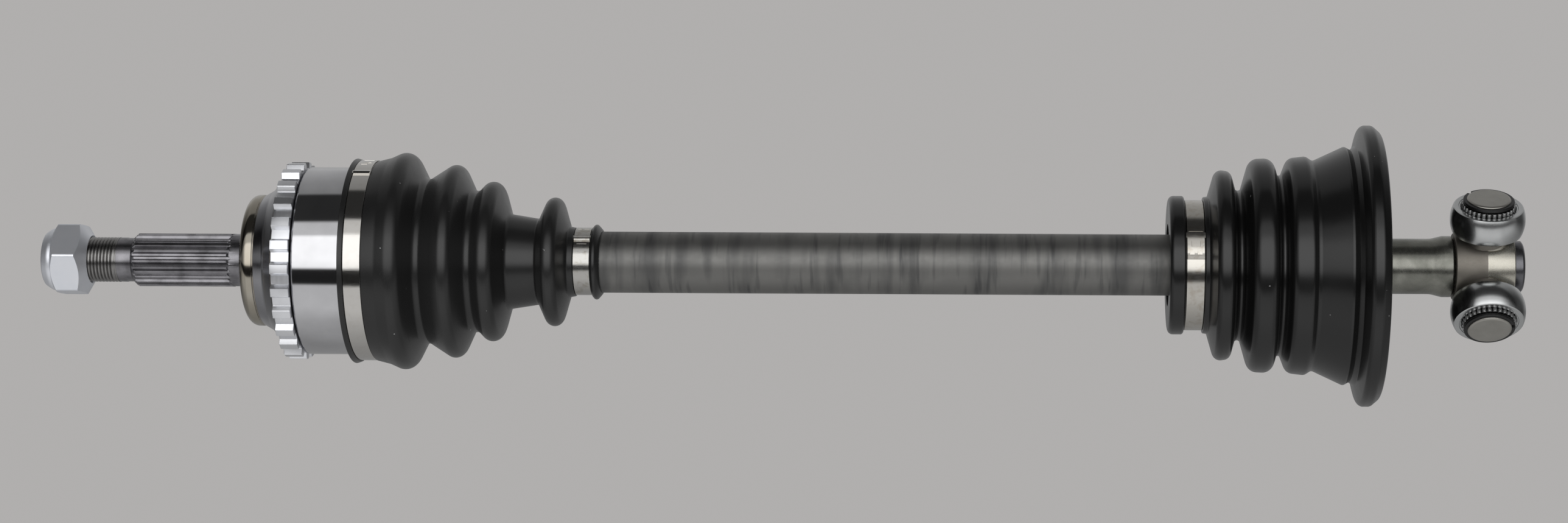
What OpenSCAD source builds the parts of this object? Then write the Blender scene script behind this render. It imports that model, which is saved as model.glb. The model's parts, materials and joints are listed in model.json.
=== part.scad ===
// Front-wheel drive shaft with a fixed ball joint at the wheel end and an open tripod joint
// at the gearbox end. +X runs along the shaft from the wheel to the gearbox and +Z is up.
// The origin is the centre of the tripod. All sizes are in millimetres.

/* [Driveline] */
// Distance between the centres of the two joints
joint_centres = 517.5; // [500:0.5:540]
// Radius of the thick middle length of the shaft
shaft_r = 13.75; // [13.6:0.05:14.2]
// Radius of the thinner length inside the gearbox-end boot
inner_shaft_r = 12.45; // [12:0.05:12.55]
// How far the shaft end stands past the tripod centre
shaft_end = 17; // [16:0.5:20]

/* [Stub axle] */
// Teeth of the wheel-end spline
hub_spline_teeth = 23; // [21:1:25]
// Tip radius of the wheel-end spline
hub_spline_r = 11.9; // [11.6:0.05:12]
// Crest radius of the hub nut thread
thread_r = 10; // [9:0.5:10]
// Pitch of the hub nut thread
thread_pitch = 1.5; // [1:0.25:2]
// Width of the hub nut across its flats
nut_flats = 30; // [28:1:32]

/* [Ball joint] */
// Outer radius of the joint housing
housing_r = 42; // [41.5:0.1:42.5]
// Radius of the circle that the ball centres lie on
ball_pitch_r = 28.5; // [28.3:0.1:28.7]
// Radius of each joint ball
ball_r = 7.9; // [7.8:0.05:7.95]
// Radius of the tracks that the balls run in
track_r = 9.7; // [9.4:0.1:9.7]
// Teeth of the wheel-speed ring
speed_ring_teeth = 26; // [24:1:29]

/* [Tripod joint] */
// Largest radius of a roller
roller_r = 16.8; // [16.2:0.1:17]
// Radius of a trunnion of the spider
trunnion_r = 9.93; // [9.8:0.01:9.95]
// Needles round each trunnion
needles = 30; // [28:1:30]
// Angle of the first trunnion, from +Y round to +Z
trunnion_turn = 116.3; // [0:0.1:120]

/* [Boots] */
// Wall thickness of the wheel-end boot
outer_boot_wall = 2.4; // [2:0.1:2.6]
// Wall thickness of the gearbox-end boot
inner_boot_wall = 2.8; // [2.4:0.1:3]
// Radius of the rim that meets the gearbox
flange_r = 63.2; // [62:0.1:65]
// Balls in the bearing of the gearbox-end boot
bearing_balls = 12; // [9:1:13]

/* [Hidden] */

outer_x = -joint_centres;
round_fn = 96;
fillet_steps = 5;
slip = 0.02;

// Ball joint
joint_balls = 6;
race_r = 28.9;
race_half = 12;
cage_inner_r = 29.2;
cage_outer_r = 33;
cage_half = 12.5;
cage_window_half = ball_r + 0.05;
cage_window_side = 9.5;
housing_sphere_r = 33.15;
housing_floor = -27.4;
housing_sweep = 88;
mouth = 21;
mouth_cone_start = 14.5;
ring_seat_r = 39.9;
ring_left = -19;
ring_right = -11;
spline_root_drop = 1.1;

// Shaft stations, from the ball joint centre
race_spline_r = 11;
neck_r = 11.2;
boot_seat_r = 12.2;
race_clip_x = -race_half - 0.2;
clip_w = 1.2;
outer_tip = -15.5;
boot_seat_start = 106;
boot_seat_end = 116.5;
boot_end = 121;

// Stub axle stations, from the ball joint centre
stub_tip = -122;
nut_left = -128.5;
nut_right = -107.5;
nut_collar = 4.8;
insert_lip = 1.2;
insert_r = 11.9;
thread_start = -121;
thread_end = -95.5;
relief_end = -89;
hub_spline_end = -46.5;
shoulder_x = -36.5;

// Boot bearing
bearing_left = -140.5;
bearing_w = 15;
bearing_seat_r = 12.6;
bearing_outer_r = 26;
bearing_pitch_r = 19.3;
bearing_ball_r = 3.4;
bearing_groove_r = 3.5;
bearing_inner_land = 16.6;
bearing_outer_land = 22;
seal_w = 1.1;

// Tripod
spider_left = -14.3;
spider_right = 12.3;
spider_spline_r = 12.4;
trunnion_tip = 34.1;
trunnion_ring_in = 31.9;
trunnion_ring_w = 1.4;
needle_r = 1.1;
needle_in = 17.4;
needle_len = 14.2;
speed_ring_turn = -2;
roller_in = 17.6;
roller_w = 12.4;
roller_face_r = 15.6;
needle_ring_r = trunnion_r + needle_r + 0.02;
roller_bore_r = needle_ring_r + needle_r + 0.02;

// Boots
boot_lip = 10.8;
large_clamp_left = 13.1;
large_clamp_w = 7.6;
large_seat_r = 44.05;
small_clamp_left = 109.4;
small_clamp_w = 7.4;
small_seat_r = 14.25;
inner_clamp_left = -135.1;
inner_clamp_w = 8;
inner_seat_r = 28.65;
band_t = 0.75;
flange_left = -61;
flange_right = -48;
flange_bore_r = 49;

// ---- outline helpers ----

function unit(v) = v / norm(v);
function inward(a, b) = let (d = unit(b - a)) [d[1], -d[0]];
function xy(v) = [v[0], v[1]];
function wrap(a) = a > 180 ? a - 360 : (a < -180 ? a + 360 : a);

// Points of the arc of radius v[2] that rounds the corner at v, between p and q
function corner(p, v, q) =
    let (
        b = xy(v),
        u = unit(xy(p) - b),
        w = unit(xy(q) - b),
        angle = acos(max(-1, min(1, u * w)))
    )
    (v[2] <= 0 || angle > 178)
        ? [b]
        : let (
            centre = b + unit(u + w) * v[2] / sin(angle / 2),
            first = b + u * v[2] / tan(angle / 2) - centre,
            last = b + w * v[2] / tan(angle / 2) - centre,
            a0 = atan2(first[1], first[0]),
            turn = wrap(atan2(last[1], last[0]) - a0)
        )
        [for (i = [0:fillet_steps]) centre + v[2] * [cos(a0 + turn * i / fillet_steps),
                                                     sin(a0 + turn * i / fillet_steps)]];

// An open path of [x, r, rounding] vertices with every inner corner rounded
function rounded(v) = [
    for (i = [0:len(v) - 1])
        each (i == 0 || i == len(v) - 1) ? [xy(v[i])] : corner(v[i - 1], v[i], v[i + 1])
];

// The same path moved a wall's thickness towards the axis, with its roundings to match
function inset(v, wall) = [
    for (i = [0:len(v) - 1])
        let (
            p = xy(v[max(i - 1, 0)]),
            b = xy(v[i]),
            q = xy(v[min(i + 1, len(v) - 1)]),
            n1 = i == 0 ? inward(b, q) : inward(p, b),
            n2 = i == len(v) - 1 ? n1 : inward(b, q),
            m = b + wall * (n1 + n2) / (1 + n1 * n2),
            bend = n1[0] * n2[1] - n1[1] * n2[0]
        )
        [m[0], m[1], bend < 0 ? max(v[i][2] - wall, 0.3) : v[i][2] + wall]
];

function backwards(v) = [for (i = [len(v) - 1:-1:0]) v[i]];

// Outline of a toothed bar or ring, as angles and radii round the axis
function toothed(teeth, root_r, tip_r, root_part, tip_part) = [
    for (i = [0:teeth - 1])
        for (c = [[root_r, -root_part], [tip_r, -tip_part], [tip_r, tip_part], [root_r, root_part]])
            let (a = 360 * (i + c[1] / 2) / teeth)
            c[0] * [cos(a), sin(a)]
];

// ---- solid helpers ----

// Turns an [x, r] outline about the X axis
module turned(outline) {
    rotate([0, 90, 0])
        rotate_extrude($fn = round_fn)
            polygon([for (p = outline) [p[1], p[0]]]);
}

// A ring between two radii
module ring(x, w, r_in, r_out) {
    turned([[x, r_in], [x + w, r_in], [x + w, r_out], [x, r_out]]);
}

module bar(x, w, r) {
    translate([x, 0, 0])
        rotate([0, 90, 0])
            cylinder(h = w, r = r, $fn = round_fn);
}

module toothed_bar(x, w, teeth, root_r, tip_r, root_part, tip_part) {
    translate([x, 0, 0])
        rotate([0, 90, 0])
            linear_extrude(height = w)
                polygon(toothed(teeth, root_r, tip_r, root_part, tip_part));
}

// A sphere round the ball joint's centre, with its poles on the X axis
module joint_sphere(r) {
    translate([outer_x, 0, 0])
        rotate([0, 90, 0])
            sphere(r = r, $fn = round_fn);
}

// The six tracks of the ball joint: arcs of a circular section round the joint's centre
module tracks(sweep) {
    for (i = [0:joint_balls - 1])
        rotate([i * 360 / joint_balls, 0, 0])
            rotate([0, 0, 90 - sweep / 2])
                rotate_extrude(angle = sweep, $fn = round_fn)
                    translate([ball_pitch_r, 0])
                        circle(r = track_r, $fn = round_fn);
}

// A split spring ring
module circlip(x, w, r_in, r_out, gap) {
    difference() {
        ring(x, w, r_in, r_out);
        translate([x - 1, -gap / 2, 0])
            cube([w + 2, gap, r_out + 1]);
    }
}

// A flat band clamp with a raised lock on a short part of its circle, centred at angle a
module band_clamp(x, w, r, lock_t, lock_half, a) {
    ring(x, w, r + slip, r + band_t);
    rotate([a, 0, 0])
        intersection() {
            ring(x + 0.5, w - 1, r + 0.1, r + band_t + lock_t);
            translate([x - 1, -lock_half, 0])
                cube([w + 2, 2 * lock_half, r + 10]);
        }
}

// ---- shaft ----

race_spline_teeth = 24;

module shaft_core() {
    clip_r = race_spline_r - 1;
    spider_clip = spider_right - 2.2;
    turned(rounded([
        [outer_x + outer_tip, 0, 0],
        [outer_x + outer_tip, clip_r, 0],
        [outer_x + race_clip_x, clip_r, 0],
        [outer_x + race_half + 1, clip_r, 0],
        [outer_x + race_half + 1, neck_r, 0],
        [outer_x + boot_seat_start - 4, neck_r, 4],
        [outer_x + boot_seat_start, boot_seat_r, 4],
        [outer_x + boot_seat_end, boot_seat_r, 1],
        [outer_x + boot_seat_end + 3, shaft_r, 1],
        [bearing_left - 0.1, shaft_r, 0],
        [bearing_left - 0.1, bearing_seat_r, 0],
        [bearing_left + bearing_w + 0.2, bearing_seat_r, 0],
        [bearing_left + bearing_w + 0.2, bearing_seat_r - 0.9, 0],
        [bearing_left + bearing_w + 1.5, bearing_seat_r - 0.9, 0],
        [bearing_left + bearing_w + 1.5, inner_shaft_r, 0],
        [spider_left - 9, inner_shaft_r, 14],
        [spider_left - 5, shaft_r, 3],
        [spider_left - 1.1, shaft_r, 0.3],
        [spider_left - 1, spider_spline_r - 1.1, 0],
        [spider_right - 1, spider_spline_r - 1.1, 0],
        [spider_clip + 2, spider_spline_r - 0.8, 0],
        [shaft_end - 0.9, spider_spline_r - 0.8, 0.8],
        [shaft_end, spider_spline_r - 1.9, 0.6],
        [shaft_end, 0, 0]
    ]));
}

module drive_shaft() {
    color("#4b4d4c") {
        shaft_core();
        toothed_bar(outer_x + race_clip_x, 2 * race_half + 0.6, race_spline_teeth,
                    race_spline_r - 0.9, race_spline_r, 0.6, 0.4);
        toothed_bar(outer_x + outer_tip, -outer_tip + race_clip_x - clip_w - 0.1, race_spline_teeth,
                    race_spline_r - 0.9, race_spline_r, 0.6, 0.4);
        toothed_bar(spider_left - 1, spider_right - spider_left - 2.6, race_spline_teeth,
                    spider_spline_r - 1, spider_spline_r, 0.6, 0.4);
    }
}

// ---- ball joint ----

module outer_joint_inner_race() {
    color("#8f9294")
        difference() {
            intersection() {
                joint_sphere(race_r);
                bar(outer_x - race_half, 2 * race_half, race_r + 1);
            }
            translate([outer_x, 0, 0])
                tracks(80);
            toothed_bar(outer_x - race_half - 1, 2 * race_half + 2, race_spline_teeth,
                        race_spline_r - 0.9 + slip, race_spline_r + slip, 0.62, 0.42);
        }
}

module inner_race_circlip() {
    color("#5c5f61")
        circlip(outer_x + race_clip_x - clip_w, clip_w, race_spline_r - 0.95, race_spline_r + 0.8, 3);
}

module outer_joint_cage() {
    color("#6f7173")
        difference() {
            intersection() {
                joint_sphere(cage_outer_r);
                bar(outer_x - cage_half, 2 * cage_half, cage_outer_r + 1);
            }
            joint_sphere(cage_inner_r);
            for (i = [0:joint_balls - 1])
                rotate([i * 360 / joint_balls, 0, 0])
                    translate([outer_x - cage_window_half, cage_inner_r - 10, -cage_window_side])
                        cube([2 * cage_window_half, 20, 2 * cage_window_side]);
        }
}

module joint_ball(i) {
    color("#c9ccd0")
        translate([outer_x, 0, 0])
            rotate([(i - 1) * 360 / joint_balls, 0, 0])
                translate([0, ball_pitch_r, 0])
                    sphere(r = ball_r, $fn = round_fn);
}

// Outline of the stub axle and the outside of the bell, from the thread's tip to the mouth
function thread_outline(x0, x1) = [
    for (i = [0:floor((x1 - x0) / thread_pitch) - 1])
        each [
            [x0 + i * thread_pitch, thread_r],
            [x0 + (i + 0.12) * thread_pitch, thread_r],
            [x0 + (i + 0.5) * thread_pitch, thread_r - 0.61 * thread_pitch],
            [x0 + (i + 0.88) * thread_pitch, thread_r]
        ]
];

module housing_outside() {
    head = rounded([
        [thread_end, thread_r, 0],
        [thread_end + 3.2, thread_r, 0.5],
        [thread_end + 4, thread_r - 0.2, 0.5],
        [relief_end + 2, thread_r - 0.2, 0],
        [hub_spline_end - 1.4, hub_spline_r - spline_root_drop - 0.2, 0],
        [hub_spline_end - 0.3, hub_spline_r - 0.1, 0],
        [shoulder_x - 3, hub_spline_r - 0.1, 2.5],
        [shoulder_x, hub_spline_r + 2.5, 0],
        [shoulder_x, 29.4, 2.8],
        [-30, 29.4, 1],
        [ring_left - 0.4, 38.2, 1.5],
        [ring_left, ring_seat_r, 0],
        [ring_right + 0.2, ring_seat_r, 0],
        [ring_right + 0.2, housing_r, 0.3],
        [mouth - 0.6, housing_r, 0],
        [mouth, housing_r - 0.6, 0],
        [mouth, 0, 0]
    ]);
    tip = [[stub_tip, 0], [stub_tip, thread_r - 1.1], [thread_start, thread_r - 0.1]];
    translate([outer_x, 0, 0])
        turned(concat(tip, thread_outline(thread_start, thread_end), head));
}

module housing_inside() {
    mouth_r = sqrt(housing_sphere_r * housing_sphere_r - mouth_cone_start * mouth_cone_start);
    intersection() {
        joint_sphere(housing_sphere_r);
        bar(outer_x + housing_floor, mouth_cone_start - housing_floor, housing_sphere_r + 1);
    }
    translate([outer_x, 0, 0]) {
        turned([
            [mouth_cone_start - 1, 0],
            [mouth_cone_start - 1, mouth_r - 1],
            [mouth + 1, mouth_r + mouth + 1 - mouth_cone_start],
            [mouth + 1, 0]
        ]);
        tracks(housing_sweep);
    }
}

module outer_joint_housing() {
    color("#8c8e8d")
        difference() {
            union() {
                housing_outside();
                intersection() {
                    toothed_bar(outer_x + relief_end, hub_spline_end - relief_end, hub_spline_teeth,
                                hub_spline_r - spline_root_drop, hub_spline_r, 0.62, 0.36);
                    turned([
                        [outer_x + relief_end, 0],
                        [outer_x + relief_end, hub_spline_r - 1.9],
                        [outer_x + relief_end + 3.6, hub_spline_r + 0.2],
                        [outer_x + hub_spline_end - 2.6, hub_spline_r + 0.2],
                        [outer_x + hub_spline_end, hub_spline_r - 0.9],
                        [outer_x + hub_spline_end, 0]
                    ]);
                }
            }
            housing_inside();
        }
}

module wheel_speed_ring() {
    color("#b4b6b8")
        difference() {
            rotate([speed_ring_turn, 0, 0])
                toothed_bar(outer_x + ring_left + 0.02, ring_right - ring_left, speed_ring_teeth,
                            41.6, 44.2, 0.62, 0.38);
            bar(outer_x + ring_left - 1, ring_right - ring_left + 2, ring_seat_r + slip);
        }
}

// ---- hub nut ----

module hub_nut() {
    hex_left = nut_left + nut_collar;
    corner_r = nut_flats / sqrt(3);
    color("#9aa1ab")
        translate([outer_x, 0, 0])
            difference() {
                union() {
                    intersection() {
                        translate([hex_left, 0, 0])
                            rotate([5.7, 0, 0])
                                rotate([0, 90, 0])
                                    cylinder(h = nut_right - hex_left, r = corner_r, $fn = 6);
                        turned([
                            [hex_left, 0],
                            [hex_left, nut_flats / 2 - 0.4],
                            [hex_left + 2, corner_r + 0.1],
                            [nut_right - 2.6, corner_r + 0.1],
                            [nut_right, nut_flats / 2 - 2.2],
                            [nut_right, 0]
                        ]);
                    }
                    turned(rounded([
                        [hex_left + 1, 0, 0],
                        [hex_left + 1, 14.2, 0],
                        [hex_left - 1.6, 14, 3],
                        [nut_left, 11.8, 1.5],
                        [nut_left, 0, 0]
                    ]));
                }
                bar(nut_left - 1, nut_right - nut_left + 2, thread_r + 0.06);
                bar(nut_left + insert_lip, nut_collar - insert_lip, insert_r + slip);
                turned([
                    [nut_right - 1, 0],
                    [nut_right - 1, thread_r + 0.06],
                    [nut_right + 0.1, thread_r + 1.2],
                    [nut_right + 0.1, 0]
                ]);
            }
}

module nut_locking_insert() {
    color("#d8d4c6")
        translate([outer_x + nut_left + insert_lip, 0, 0])
            ring(0.05, nut_collar - insert_lip - 0.1, thread_r + 0.05, insert_r);
}

// ---- wheel-end boot ----

module outer_boot() {
    lip = [
        [boot_lip, housing_r + 0.05, 0],
        [boot_lip, 46.1, 0.3],
        [large_clamp_left - 0.1, 45.2, 0.3],
        [large_clamp_left - 0.1, large_seat_r, 0],
        [large_clamp_left + large_clamp_w + 0.1, large_seat_r, 0.2]
    ];
    folds = [
        [large_clamp_left + large_clamp_w + 0.6, 44.8, 0.3],
        [27, 46.4, 8],
        [35.4, 50.2, 5.2],
        [42.8, 35.9, 2.6],
        [57.2, 45.2, 4.1],
        [64.5, 29.8, 2.6],
        [74.1, 40, 4.4],
        [79.8, 21.4, 2.4],
        [92.9, 19.3, 1.2],
        [100.5, 35.4, 3.7],
        [106.6, 15.9, 1]
    ];
    tail = [
        [small_clamp_left - 0.1, 15.4, 0.2],
        [small_clamp_left - 0.1, small_seat_r, 0],
        [small_clamp_left + small_clamp_w + 0.1, small_seat_r, 0.2],
        [118.5, 17.5, 1.2],
        [boot_end, 14.6, 0.5],
        [boot_end, shaft_r + 0.05, 0]
    ];
    // The wall's inner side is the folds moved in by the wall thickness
    inner = concat(
        [[boot_lip, housing_r + 0.05, 0], [mouth + 0.4, housing_r + 0.05, 0.3]],
        inset([for (i = [1:len(folds) - 1]) folds[i]], outer_boot_wall),
        [
            [boot_seat_start + 1.5, boot_seat_r + 0.05, 0],
            [boot_seat_end - 0.1, boot_seat_r + 0.05, 0],
            [boot_seat_end + 3, shaft_r + 0.05, 0],
            [boot_end, shaft_r + 0.05, 0]
        ]
    );
    color("#232323")
        translate([outer_x, 0, 0])
            turned(concat(rounded(concat(lip, folds, tail)), backwards(rounded(inner))));
}

module outer_boot_large_clamp() {
    color("#a7a8a4")
        band_clamp(outer_x + large_clamp_left, large_clamp_w, large_seat_r, 0.7, 8, 18);
}

module outer_boot_small_clamp() {
    color("#a7a8a4")
        band_clamp(outer_x + small_clamp_left, small_clamp_w, small_seat_r, 0.9, 5, 2);
}

// ---- bearing of the gearbox-end boot ----

module bearing_groove() {
    rotate([0, 90, 0])
        rotate_extrude($fn = round_fn)
            translate([bearing_pitch_r, 0])
                circle(r = bearing_groove_r, $fn = round_fn);
}

module boot_bearing_inner_ring() {
    color("#8d9093")
        difference() {
            ring(bearing_left, bearing_w, bearing_seat_r + slip, bearing_inner_land);
            translate([bearing_left + bearing_w / 2, 0, 0])
                bearing_groove();
        }
}

module boot_bearing_outer_ring() {
    color("#8d9093")
        difference() {
            ring(bearing_left, bearing_w, bearing_outer_land, bearing_outer_r);
            translate([bearing_left + bearing_w / 2, 0, 0])
                bearing_groove();
        }
}

module bearing_ball_row(r) {
    translate([bearing_left + bearing_w / 2, 0, 0])
        for (i = [0:bearing_balls - 1])
            rotate([i * 360 / bearing_balls, 0, 0])
                translate([0, 0, bearing_pitch_r])
                    sphere(r = r, $fn = round_fn);
}

module boot_bearing_balls() {
    color("#c9ccd0")
        bearing_ball_row(bearing_ball_r);
}

module boot_bearing_cage() {
    cage_w = 8.4;
    color("#3c3a34")
        difference() {
            ring(bearing_left + (bearing_w - cage_w) / 2, cage_w, 18.2, 20.4);
            bearing_ball_row(bearing_ball_r + 0.1);
        }
}

module boot_bearing_seals() {
    color("#1c1c1c")
        for (x = [bearing_left + 0.4, bearing_left + bearing_w - seal_w - 0.4])
            ring(x, seal_w, bearing_inner_land + 0.1, bearing_outer_land - slip);
}

module boot_bearing_circlip() {
    color("#5c5f61")
        circlip(bearing_left + bearing_w + 0.25, clip_w, bearing_seat_r - 0.85, bearing_seat_r + 2.2, 4);
}

// ---- gearbox-end boot ----

module inner_boot() {
    neck_left = -142.4;
    neck_hole_r = 18.5;
    neck = [
        [neck_left, neck_hole_r, 0],
        [neck_left, 31.1, 2.4],
        [inner_clamp_left - 0.4, 31.1, 1.2],
        [inner_clamp_left - 0.1, inner_seat_r, 0],
        [inner_clamp_left + inner_clamp_w + 0.1, inner_seat_r, 0],
        [inner_clamp_left + inner_clamp_w + 0.3, 30.5, 0.5]
    ];
    folds = [
        [-124.8, 30.9, 0.6],
        [-121.2, 43.1, 3.6],
        [-114.7, 42.2, 3.2],
        [-111.2, 29.4, 1.6],
        [-105.8, 47.9, 4.9],
        [-96, 48.3, 4.9],
        [-93, 37.6, 1.4],
        [-88.8, 48.3, 4],
        [-81, 49.2, 3],
        [-77.8, 47.1, 2],
        [-63.6, 53.7, 1.6],
        [flange_left, 52.2, 0]
    ];

    inner = concat(
        [
            [neck_left, neck_hole_r, 0],
            [bearing_left - 0.1, neck_hole_r, 0],
            [bearing_left - 0.1, bearing_outer_r + slip, 0],
            [bearing_left + bearing_w + 0.1, bearing_outer_r + slip, 0],
            [bearing_left + bearing_w + 0.1, 25, 0],
            [bearing_left + bearing_w + 2.2, 25, 0]
        ],
        inset([for (i = [1:len(folds) - 1]) folds[i]], inner_boot_wall)
    );
    color("#232323")
        turned(concat(rounded(concat(neck, folds)), backwards(rounded(inner))));
}

module inner_boot_clamp() {
    color("#8d8880")
        band_clamp(inner_clamp_left, inner_clamp_w, inner_seat_r, 0.7, 9, 96);
}

module inner_boot_flange() {
    color("#202020")
        turned(rounded([
            [flange_left, flange_bore_r, 0],
            [flange_left, 52.4, 0],
            [-58.9, 53.8, 1],
            [-56.7, 62.4, 2.6],
            [-55, flange_r, 1.4],
            [-51.6, flange_r, 2.4],
            [flange_right, 60, 2.6],
            [flange_right, flange_bore_r, 0]
        ]));
}

module flange_insert() {
    color("#a9abac")
        ring(flange_left + 2, flange_right - flange_left - 2, flange_bore_r - 1.8, flange_bore_r - slip);
}

// ---- tripod ----

module on_trunnion(i) {
    rotate([trunnion_turn + (i - 1) * 120, 0, 0])
        rotate([-90, 0, 0])
            children();
}

module tripod_spider() {
    groove_r = trunnion_r - 0.5;
    color("#7b7770")
        difference() {
            union() {
                turned(rounded([
                    [spider_left, 0, 0],
                    [spider_left, 15, 0.5],
                    [0, 16.3, 1],
                    [spider_right, 15, 0.5],
                    [spider_right, 0, 0]
                ]));
                for (i = [1:3])
                    on_trunnion(i)
                        rotate_extrude($fn = round_fn)
                            polygon([
                                [0, 12],
                                [trunnion_r + 0.6, 12],
                                [trunnion_r + 0.6, 16.4],
                                [trunnion_r, 17],
                                [trunnion_r, trunnion_ring_in - 0.05],
                                [groove_r, trunnion_ring_in - 0.05],
                                [groove_r, trunnion_ring_in + trunnion_ring_w + 0.05],
                                [trunnion_r, trunnion_ring_in + trunnion_ring_w + 0.05],
                                [trunnion_r - 0.7, trunnion_tip],
                                [0, trunnion_tip]
                            ]);
            }
            toothed_bar(spider_left - 1, spider_right - spider_left + 2, race_spline_teeth,
                        spider_spline_r - 1 + slip, spider_spline_r + slip, 0.62, 0.42);
            bar(spider_right - 2.3, 4, spider_spline_r + 0.9);
        }
}

module spider_circlip() {
    color("#5c5f61")
        circlip(spider_right - 2.1, clip_w, spider_spline_r - 0.75, spider_spline_r + 0.8, 3);
}

module trunnion_ring(i) {
    color("#1d1d1d")
        on_trunnion(i)
            difference() {
                translate([0, 0, trunnion_ring_in])
                    cylinder(h = trunnion_ring_w, r = trunnion_r + 1.5, $fn = round_fn);
                translate([0, 0, trunnion_ring_in - 1])
                    cylinder(h = trunnion_ring_w + 2, r = trunnion_r - 0.48, $fn = round_fn);
            }
}

module needle_set(i) {
    color("#b9bbbd")
        on_trunnion(i)
            for (k = [0:needles - 1])
                rotate([0, 0, k * 360 / needles])
                    translate([needle_ring_r, 0, needle_in])
                        cylinder(h = needle_len, r = needle_r, $fn = round_fn);
}

module roller(i) {
    crown_drop = roller_r - roller_face_r;
    crown_r = (roller_w * roller_w / 4 + crown_drop * crown_drop) / (2 * crown_drop);
    crown_steps = 10;
    half_turn = asin(roller_w / 2 / crown_r);
    color("#b1b3b5")
        on_trunnion(i)
            translate([0, 0, roller_in])
                rotate_extrude($fn = round_fn)
                    polygon(concat(
                        [[roller_bore_r, roller_w - 0.5], [roller_bore_r, 0.5], [roller_bore_r + 0.5, 0]],
                        [
                            for (k = [0:crown_steps])
                                let (a = half_turn * (2 * k / crown_steps - 1))
                                [roller_r - crown_r * (1 - cos(a)), roller_w / 2 + crown_r * sin(a)]
                        ],
                        [[roller_bore_r + 0.5, roller_w]]
                    ));
}

drive_shaft();
outer_joint_housing();
hub_nut();
nut_locking_insert();
wheel_speed_ring();
outer_joint_inner_race();
inner_race_circlip();
outer_joint_cage();
for (i = [1:6])
    joint_ball(i);
outer_boot();
outer_boot_large_clamp();
outer_boot_small_clamp();
boot_bearing_inner_ring();
boot_bearing_outer_ring();
boot_bearing_balls();
boot_bearing_cage();
boot_bearing_seals();
boot_bearing_circlip();
inner_boot();
inner_boot_clamp();
inner_boot_flange();
flange_insert();
tripod_spider();
spider_circlip();
for (i = [1:3])
    trunnion_ring(i);
for (i = [1:3])
    needle_set(i);
for (i = [1:3])
    roller(i);
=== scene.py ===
import json
import math

import bmesh
import bpy
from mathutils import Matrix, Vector


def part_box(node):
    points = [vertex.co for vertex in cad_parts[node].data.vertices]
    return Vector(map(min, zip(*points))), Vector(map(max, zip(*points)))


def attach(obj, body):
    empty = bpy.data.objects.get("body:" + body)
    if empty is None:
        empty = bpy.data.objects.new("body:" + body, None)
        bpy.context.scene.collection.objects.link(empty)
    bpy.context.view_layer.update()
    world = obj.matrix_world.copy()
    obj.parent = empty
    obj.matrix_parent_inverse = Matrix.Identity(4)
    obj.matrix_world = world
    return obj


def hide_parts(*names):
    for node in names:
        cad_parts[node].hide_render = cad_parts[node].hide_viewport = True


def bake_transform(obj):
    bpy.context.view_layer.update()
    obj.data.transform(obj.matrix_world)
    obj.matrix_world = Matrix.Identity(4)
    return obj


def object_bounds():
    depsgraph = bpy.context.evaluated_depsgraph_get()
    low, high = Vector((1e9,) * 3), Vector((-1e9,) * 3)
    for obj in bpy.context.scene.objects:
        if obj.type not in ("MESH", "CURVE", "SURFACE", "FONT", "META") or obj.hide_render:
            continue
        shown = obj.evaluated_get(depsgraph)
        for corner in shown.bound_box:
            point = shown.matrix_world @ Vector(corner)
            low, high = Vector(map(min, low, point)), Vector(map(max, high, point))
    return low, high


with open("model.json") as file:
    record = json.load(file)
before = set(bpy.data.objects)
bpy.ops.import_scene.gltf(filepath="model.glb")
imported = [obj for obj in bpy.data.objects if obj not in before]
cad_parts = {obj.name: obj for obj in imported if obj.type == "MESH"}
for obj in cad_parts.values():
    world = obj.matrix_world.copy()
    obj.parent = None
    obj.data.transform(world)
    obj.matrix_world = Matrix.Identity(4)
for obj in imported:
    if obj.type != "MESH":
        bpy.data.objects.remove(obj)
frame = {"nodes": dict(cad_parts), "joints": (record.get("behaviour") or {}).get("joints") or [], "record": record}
cad_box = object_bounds()

# The shaft lies along +X. An angle round it goes from -Y, the side that faces the camera, up towards +Z.
MM = 0.001
JOINTS = {joint["name"]: joint for joint in frame["joints"]}
OUTER_X = JOINTS["steer_inboard"]["pos_m"][0] / MM
SLOTS = {part["node"]: part["material_slot"] for part in frame["record"]["subparts"]}
TURNS = 168
BOOT_TURNS, BOOT_CREASE = 192, 60.0
BACKDROP = (0.437, 0.427, 0.421)


def box_mm(node):
    """Lowest and highest corner of a CAD node in millimetres."""
    low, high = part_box(node)
    return low / MM, high / MM


# ---- mesh helpers ----


def solid(name, verts, faces, sharp=32.0):
    """Makes a smooth-shaded object from points in millimetres, with its creases kept sharp."""
    mesh = bpy.data.meshes.new(name)
    mesh.from_pydata([Vector(v) * MM for v in verts], [], faces)
    shape = bmesh.new()
    shape.from_mesh(mesh)
    bmesh.ops.remove_doubles(shape, verts=shape.verts, dist=1e-7)
    bmesh.ops.dissolve_degenerate(shape, edges=shape.edges, dist=1e-7)
    bmesh.ops.recalc_face_normals(shape, faces=shape.faces)
    for face in shape.faces:
        face.smooth = True
    for edge in shape.edges:
        edge.smooth = edge.calc_face_angle(0.0) < math.radians(sharp)
    shape.to_mesh(mesh)
    shape.free()
    made = bpy.data.objects.new(name, mesh)
    bpy.context.scene.collection.objects.link(made)
    return made


def around(x, r, turn):
    """The point at station x, radius r and angle turn round the shaft."""
    return (x, -r * math.cos(turn), r * math.sin(turn))


def full_turn(columns=TURNS):
    """Evenly spaced angles round the shaft."""
    return [2 * math.pi * c / columns for c in range(columns)]


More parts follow.
